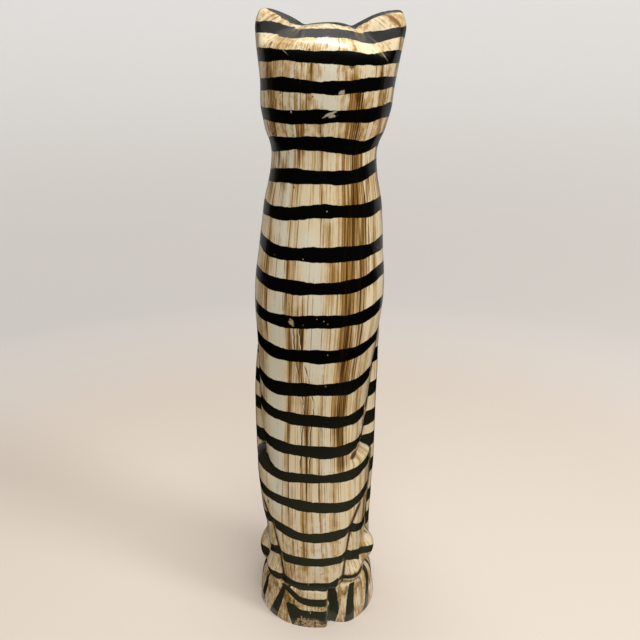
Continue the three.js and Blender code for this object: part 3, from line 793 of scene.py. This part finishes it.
# Small marks on the back: place across, height, half width, half height, tilt in degrees
PALE_MARKS = [
    (17.4, 282.1, 1.6, 2.2, 0), (-2.2, 286, 0.4, 0.4, 0), (-7.6, 284.4, 0.35, 0.5, 0),
    (-10.8, 282, 0.5, 0.4, 0), (8.3, 280.8, 0.4, 0.4, 0), (10.1, 331.9, 0.4, 0.4, 0),
    (-6.1, 367.2, 0.5, 0.4, 0), (21.9, 436.4, 0.5, 1.1, 0), (-5.2, 434.6, 5.0, 1.0, 22),
    (-7.4, 433.4, 2.6, 0.9, 12), (-13.5, 448.9, 2.2, 1.2, 25), (-40.8, 473.3, 0.25, 3.6, 40),
    (28.3, 475.9, 0.2, 2.8, 50),
    (-12, 256, 0.35, 0.7, 10), (3.5, 41, 0.3, 1.3, 0), (1.5, 15, 0.4, 1.0, 0),
]
DARK_MARKS = [
    (18.9, 383.8, 0.6, 0.8, 0), (36.4, 421.4, 0.8, 1.0, 0), (39.4, 482.5, 0.6, 1.8, -28),
    (34, 394.9, 1.6, 2.0, 35), (-28.9, 335.9, 3.6, 0.8, -15), (-19.8, 312.4, 2.2, 0.9, 12),
    (37.3, 114.3, 0.8, 1.6, 0), (-17, 416.3, 1.6, 1.2, -30), (-19.2, 465.5, 2.4, 1.6, 10),
    (10.6, 476.5, 0.7, 0.6, 0), (-24.5, 446, 1.6, 4.0, 0), (6.8, 446.3, 0.8, 0.6, 0),
    (30.3, 449.2, 0.6, 0.8, 0),
    (-31, 484, 0.8, 0.8, 0), (0.6, 423.4, 0.5, 0.8, 0), (8, 79, 1.4, 0.4, -10), (-9, 53, 2.2, 0.4, 8),
]


def painted_wood():
    n = Nodes("painted_wood")
    grain, skin = n.value("grain", "Vector"), n.value("skin", "Vector")
    across, depth, height = n.add("ShaderNodeSeparateXYZ", {0: grain}).outputs
    behind = n.spread(depth, 4, 12)

    # Cream paint, greyer in places, with brown rubbed into it in columns and fine lines along the log; one
    # column, down the left edge, is painted shade
    wide = n.noise(skin, 0.065, 0.0022, 1.0, shift=3.1)
    middle = n.noise(skin, 0.24, 0.006, 2.0, 0.5, shift=7.7)
    fine = n.noise(skin, 1.15, 0.010, 3.0, 0.6, shift=1.9)
    hair = n.noise(skin, 2.6, 0.013, 2.0, 0.6, shift=15.3)
    patch = n.noise(grain, 0.05, 0.03, 2.0, shift=12.4)
    blotch = n.noise(grain, 0.35, 0.16, 3.0, 0.6, shift=21.7)
    pores = n.noise(grain, 1.9, 0.55, 3.0, 0.7, shift=5.2)
    streak_and_shade, grey, low_brown = n.value("streak_and_shade"), n.value("grey"), n.value("low_brown")
    head = n.spread(height, 395, 425)
    rump = n.spread(height, 125, 65)

    field = n.off_middle(wide, 0.45, 0.5)
    field = n.off_middle(middle, 0.55, field)
    field = n.off_middle(fine, 0.60, field)
    field = n.off_middle(patch, 0.25, field)
    mottled = n.scaled(rump, 0.35, n.scaled(head, 0.45, 0.15))
    field = n.off_middle(blotch, mottled, field)
    field = n.scaled(streak_and_shade, 0.30, field)
    field = n.scaled(low_brown, 0.12, field)
    field = n.scaled(grey, -0.09, field)
    field = n.scaled(head, 0.03, field)
    clean = n.off_middle(middle, 1.6, grey)
    clean = n.off_middle(hair, 0.8, clean)
    wood = n.mix(n.spread(clean, 0.0, 0.8), CREAM, PALE)
    wood = n.mix(n.times(n.spread(field, 0.47, 0.60), 0.9), wood, TAN)
    wood = n.mix(n.times(n.spread(field, 0.58, 0.74), 0.95), wood, AMBER)
    lines = n.scaled(hair, 0.3, n.times(fine, 0.7))
    lines = n.scaled(streak_and_shade, 0.11, lines)
    lines = n.times(n.spread(lines, 0.55, 0.63), n.spread(field, 0.48, 0.63, 0.1, 1.0))
    lines = n.times(lines, n.scaled(rump, -0.5, 1.0))
    wood = n.mix(lines, wood, n.mix(n.spread(streak_and_shade, 0.1, 0.6), RUST, BROWN))
    stain = n.scaled(low_brown, 0.5, n.times(blotch, 0.8))
    wood = n.mix(n.spread(stain, 0.50, 0.86, 0.0, 0.9), wood, AMBER)
    wood = n.mix(n.spread(stain, 0.72, 0.98, 0.0, 0.9), wood, BROWN)
    specks = n.scaled(low_brown, 0.12, n.scaled(rump, 0.035, pores))
    specks = n.times(n.spread(specks, 0.64, 0.71), n.spread(field, 0.46, 0.60, 0.2, 0.9))
    wood = n.mix(specks, wood, BROWN)

    # Where the wood dried and cracked under the paint: a pale line painted as the highlight on each raised
    # ridge, with painted shadow along one side of it
    wiggle = n.noise(grain, 0.0, 0.16, 2.0, 0.6, shift=14.2)
    broken = n.noise(grain, 0.0, 0.055, 1.0, shift=33.3)
    for crack in ("first_crack", "second_crack"):
        off = n.off_middle(wiggle, 3.2, n.value(crack))
        there = n.times(n.spread(height, 148, 160), n.spread(height, 288, 276))
        there = n.times(n.times(there, behind), n.spread(broken, 0.38, 0.46))
        gap = n.math("ABSOLUTE", n.math("ADD", off, 0.75))
        shade = n.times(n.spread(gap, 0.85, 0.35), there)
        wood = n.mix(n.times(shade, 0.9), wood, BROWN)
        ridge_highlight = n.times(n.spread(n.math("ABSOLUTE", off), 0.50, 0.25), there)
        wood = n.mix(n.times(ridge_highlight, 0.9), wood, PALE)

    # Dark glaze in the cuts, which is also the painted shade there
    crease = n.value("crease")
    glaze_and_shade = n.off_middle(blotch, 0.8, crease)
    glaze_and_shade = n.times(n.spread(glaze_and_shade, 0.20, 0.75), n.spread(crease, 0.02, 0.2))
    wood = n.mix(n.times(n.spread(crease, 0.0, 0.5), 0.45), wood, AMBER)
    wood = n.mix(n.times(glaze_and_shade, 0.93), wood, GLAZE_AND_SHADE)

    # Bare wood where the paint is gone
    bare = n.value("bare")
    flecks = n.noise(grain, 0.8, 0.55, 3.0, 0.65, shift=9.3)
    chunks = n.noise(grain, 0.45, 0.45, 3.0, 0.7, shift=2.6)
    gone = n.spread(n.off_middle(chunks, 14.0, bare), 0.2, 0.6)
    raw = n.mix(n.spread(blotch, 0.42, 0.58), RAW, TAN)
    raw = n.mix(n.spread(pores, 0.50, 0.58, 0.0, 0.95), raw, BROWN)

    # Hand painted stripes, whose edges follow the brush and creep along the grain
    brush = n.noise(grain, 0.30, 0.30, 2.0, shift=4.4)
    creep = n.noise(skin, 1.9, 0.12, 2.0, 0.6, shift=8.8)
    edge = n.off_middle(brush, 1.3, n.off_middle(creep, 0.7, n.value("dark")))
    stripe = n.spread(edge, -0.14, 0.14)
    black = n.mix(n.spread(height, 260, 60), BLACK, OLIVE)
    thin = n.times(n.spread(hair, 0.56, 0.70), n.spread(streak_and_shade, 0.35, 0.9))
    black = n.mix(n.times(thin, 0.30), black, BROWN)

    # The eyes
    eye = n.spread(n.value("iris"), -0.2, 0.2)
    wood = n.mix(eye, wood, IRIS)

    # Knocks, specks and scratches
    back_face = n.add("ShaderNodeCombineXYZ", {0: across, 1: 0.0, 2: height}).outputs[0]

    def marks(listed):
        nearest = None
        for mark_across, mark_height, half_wide, half_tall, tilt in listed:
            spot = n.add("ShaderNodeMapping", {
                "Vector": back_face, "Location": (mark_across, 0, mark_height),
                "Scale": (half_wide, 1, half_tall), "Rotation": (0, np.radians(tilt), 0)},
                vector_type="TEXTURE")
            reach = n.add("ShaderNodeVectorMath", {0: spot.outputs[0]}, operation="LENGTH").outputs["Value"]
            nearest = reach if nearest is None else n.math("MINIMUM", nearest, reach)
        return n.times(n.spread(n.off_middle(flecks, 2.4, nearest), 1.2, 0.7), behind)

    chip = marks(PALE_MARKS)
    smudge = marks(DARK_MARKS)
    knocks = n.add("ShaderNodeTexVoronoi", {"Vector": n.add("ShaderNodeMapping", {
        "Vector": grain, "Scale": (0.05, 0.05, 0.035)}).outputs[0], "Scale": 1.0}, feature="F1")
    small = n.spread(n.scaled(flecks, 0.05, knocks.outputs["Distance"]), 0.062, 0.048)
    wood = n.mix(n.times(smudge, 0.85), wood, BROWN)
    wood = n.mix(n.times(small, 0.6), wood, BROWN)
    chipped = n.math("MAXIMUM", n.times(chip, 0.75), n.times(small, 0.45))
    wood = n.mix(n.times(chip, 0.6), wood, PUTTY)
    colour = n.mix(n.times(stripe, n.math("SUBTRACT", 1.0, chipped)), wood, black)
    colour = n.mix(gone, colour, raw)

    # Relief too small to carve: paint on wood, open grain, varnish that flowed unevenly
    relief = n.scaled(stripe, 0.05, n.times(lines, -0.05))
    relief = n.scaled(specks, -0.05, relief)
    relief = n.scaled(chipped, -0.12, relief)
    relief = n.scaled(gone, -0.25, relief)
    relief = n.scaled(fine, 0.05, relief)
    bump = n.add("ShaderNodeBump", {"Strength": 1.0, "Distance": MM, "Height": relief})
    flow = n.noise(grain, 0.16, 0.07, 2.0, shift=6.1)
    flow = n.scaled(flow, 0.30, n.times(relief, 0.35))
    by_ears = n.times(n.spread(height, 480, 487), n.spread(n.math("ABSOLUTE", across), 15, 19))
    flow = n.scaled(pores, n.times(by_ears, 0.8), flow)
    varnish = n.add("ShaderNodeBump", {"Strength": 1.0, "Distance": MM, "Height": flow})

    roughness = n.scaled(fine, 0.15, 0.36)
    roughness = n.scaled(gone, 0.30, roughness)
    shader = n.add("ShaderNodeBsdfPrincipled", {
        "Base Color": colour, "Roughness": roughness, "Normal": bump.outputs[0], "Specular IOR Level": 0.15,
        "Coat Weight": 1.0, "Coat Roughness": 0.08, "Coat IOR": 1.45, "Coat Normal": varnish.outputs[0]})
    return n.show(shader)


# The floor, in metres, and the sweep behind it
FLOOR_COLOUR = (0.725, 0.64, 0.557)
NEAR_FLOOR = 0.063
FLOOR_REACH = 3
BACKDROP_COLOUR = (0.95, 0.91, 0.86)
BACKDROP_GLOW = (0.09, 0.12, 0.15)
SWEEP = dict(start=1.0, round=0.8, tall=4.5, sunk=0.0002)


def stage_piece(name, points, faces, material, smooth=False):
    mesh = bpy.data.meshes.new(name)
    mesh.from_pydata(points, [], faces)
    mesh.polygons.foreach_set("use_smooth", np.full(len(faces), smooth))
    mesh.materials.append(material)
    piece = bpy.data.objects.new(name, mesh)
    bpy.context.collection.objects.link(piece)
    return piece


def pale_cloth():
    """The floor's colour at the bottom and paler higher up, with a faint glow far from the figure."""
    n = Nodes("pale_cloth")
    place = n.add("ShaderNodeNewGeometry").outputs["Position"]
    x, y, height = n.add("ShaderNodeSeparateXYZ", {0: place}).outputs
    level = n.add("ShaderNodeCombineXYZ", {0: x, 1: y, 2: 0.0}).outputs[0]
    away = n.add("ShaderNodeVectorMath", {0: level}, operation="LENGTH").outputs["Value"]
    colour = n.mix(n.spread(height, 0.0, 0.9), FLOOR_COLOUR, BACKDROP_COLOUR)
    shader = n.add("ShaderNodeBsdfPrincipled", {
        "Base Color": colour, "Roughness": 0.95, "Specular IOR Level": 0.1,
        "Emission Color": (*BACKDROP_GLOW, 1), "Emission Strength": n.spread(away, 0.4, 0.95)})
    return n.show(shader)


def studio():
    """A plain pale floor that sweeps up all round, and a pale panel that only the gloss shows."""
    pale = pale_cloth()
    turns = 96

    def rings(profile):
        return [(r * np.cos(a), r * np.sin(a), z) for r, z in profile
                for a in np.arange(turns) / turns * 2 * np.pi]

    stage_piece("floor_near", rings([(NEAR_FLOOR, 0)]), [range(turns)], pale)
    far = stage_piece("floor_far", rings([(FLOOR_REACH, 0), (NEAR_FLOOR, 0)]), tube_faces(2, turns), pale)
    far.visible_glossy = False

    # The sweep starts a hair below the floor, so that the two don't share a plane
    profile = [(SWEEP["start"] + SWEEP["round"] * np.sin(a), SWEEP["round"] * (1 - np.cos(a)) - SWEEP["sunk"])
               for a in np.linspace(0, np.pi / 2, 25)]
    profile.append((SWEEP["start"] + SWEEP["round"], SWEEP["tall"]))
    sweep = stage_piece("sweep", rings(profile), tube_faces(len(profile), turns), pale, smooth=True)
    sweep.visible_glossy = False
    sweep.visible_diffuse = False
    sweep.visible_shadow = False

    n = Nodes("reflected_curtain")
    glow = n.show(n.add("ShaderNodeEmission", {"Color": (1, 0.97, 0.92, 1), "Strength": 0.22}))
    x, y, top = 1.8, -0.7, 0.9
    corners = [(-x, y, 0), (x, y, 0), (x, y, top), (-x, y, top)]
    panel = stage_piece("reflected_curtain", corners, [(0, 1, 2, 3)], glow)
    panel.visible_camera = False
    panel.visible_diffuse = False
    panel.visible_shadow = False


def area_light(name, place, aim, size, power, colour=(1, 1, 1)):
    data = bpy.data.lights.new(name, "AREA")
    data.shape = "ELLIPSE"
    data.size, data.size_y = size
    data.energy = power
    data.color = colour
    light = bpy.data.objects.new(name, data)
    light.location = place
    light.rotation_euler = (Vector(aim) - Vector(place)).to_track_quat("-Z", "Y").to_euler()
    light.visible_camera = False
    bpy.context.collection.objects.link(light)
    return light


cat = carved_cat()
cat.data.materials.append(painted_wood())
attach(cat, "root")
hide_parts("carved_cat")

studio()
area_light("ceiling_lamp", (-0.07, 0.09, 1.55), (-0.02, 0.03, 0.3), (0.36, 0.8), 10.5, (1, 0.98, 0.95))
area_light("ceiling_glow", (-0.1, -0.5, 1.75), (-0.05, -0.1, 0.3), (1.8, 1.5), 4.5, (1, 0.96, 0.9))
for name, place, size, power in (("side_window", (-1.5, 0.65, 1.45), 0.55, 14),
                                 ("ceiling_behind", (-0.1, 0.6, 1.25), 0.5, 3.2)):
    area_light(name, place, (0, 0, 0.25), (size, size), power).visible_glossy = False
world = bpy.data.worlds.new("studio")
world.use_nodes = True
background = world.node_tree.nodes["Background"].inputs
background["Color"].default_value = (1.0, 0.985, 0.96, 1)
background["Strength"].default_value = 0.31
world.cycles_visibility.glossy = False
bpy.context.scene.world = world
bpy.context.scene.view_settings.view_transform = "Standard"

# The camera stands behind the cat, a little below the top of its head, and looks down
CAMERA_PLACE = Vector((-38.9, 510.9, 434.5)) * MM
CAMERA_WAY = Vector((0.0747, -0.9492, -0.3057))
camera = bpy.data.objects.new("camera", bpy.data.cameras.new("camera"))
camera.data.lens = 36.06
camera.data.sensor_width = 36
camera.location = CAMERA_PLACE
camera.rotation_euler = CAMERA_WAY.to_track_quat("-Z", "Y").to_euler()
bpy.context.collection.objects.link(camera)
bpy.context.scene.camera = camera

bpy.context.view_layer.update()
